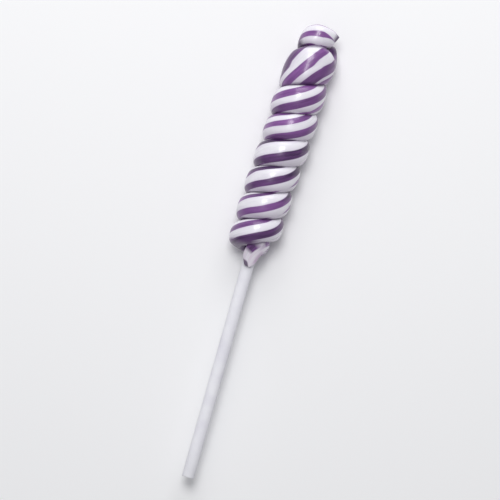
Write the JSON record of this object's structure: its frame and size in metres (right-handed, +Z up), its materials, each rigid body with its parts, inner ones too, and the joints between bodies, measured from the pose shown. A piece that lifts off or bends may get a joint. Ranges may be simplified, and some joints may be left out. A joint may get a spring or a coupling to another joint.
{
  "type": "swirl lollipop",
  "caption": "Swirl lollipop: a glossy purple and white striped sugar rope wound in a tall coil round a plain paper stick, with a pinched nub on top and a flattened tail below.",
  "frame": {"origin": "middle of the bounding box in plan, at the level of the surface that the lollipop lies on", "axes": "+X runs along the lollipop from the stick to the pinched top of the candy, +Z is up from the surface through the side that shows, +Y is across it"},
  "size_m": [0.1638, 0.018, 0.0175],
  "materials": {
    "striped_sugar": "hard sugar with a gloss, striped purple and white",
    "white_paper": "matt rolled paper"
  },
  "bodies": {
    "root": {"candy_rope": "striped_sugar", "paper_stick": "white_paper"}
  },
  "joints": []
}
